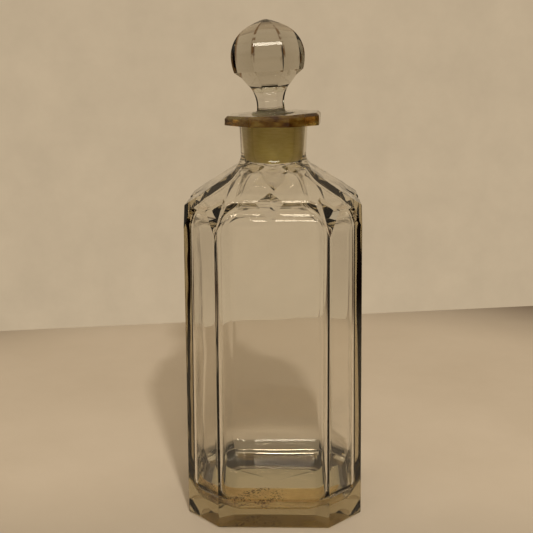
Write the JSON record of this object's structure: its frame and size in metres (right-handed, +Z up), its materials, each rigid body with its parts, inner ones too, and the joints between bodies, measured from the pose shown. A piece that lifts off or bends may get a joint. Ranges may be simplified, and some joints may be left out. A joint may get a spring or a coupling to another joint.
{
  "type": "glass bottle with ground stopper",
  "caption": "Square clear glass bottle with bevelled corners, cut shoulder, octagonal lip and a lift-out ground-glass ball stopper.",
  "frame": {"origin": "centre of the base, on the surface that the bottle stands on", "axes": "+Z up along the neck, -Y towards the front side, +X towards the right side"},
  "size_m": [0.088, 0.088, 0.2457],
  "materials": {
    "clear_glass": "clear, faintly warm-tinted blown and cut glass, polished, with a ground matt socket in the neck",
    "stopper_glass": "clear, faintly warm-tinted solid cut glass, polished, with a ground matt plug"
  },
  "bodies": {
    "bottle": {"bottle": "clear_glass"},
    "stopper": {"stopper": "stopper_glass"}
  },
  "joints": [
    {"name": "stopper_lift", "type": "slide", "parent": "bottle", "child": "stopper", "axis": [0, 0, 1], "range_m": [0, 0.04]}
  ]
}
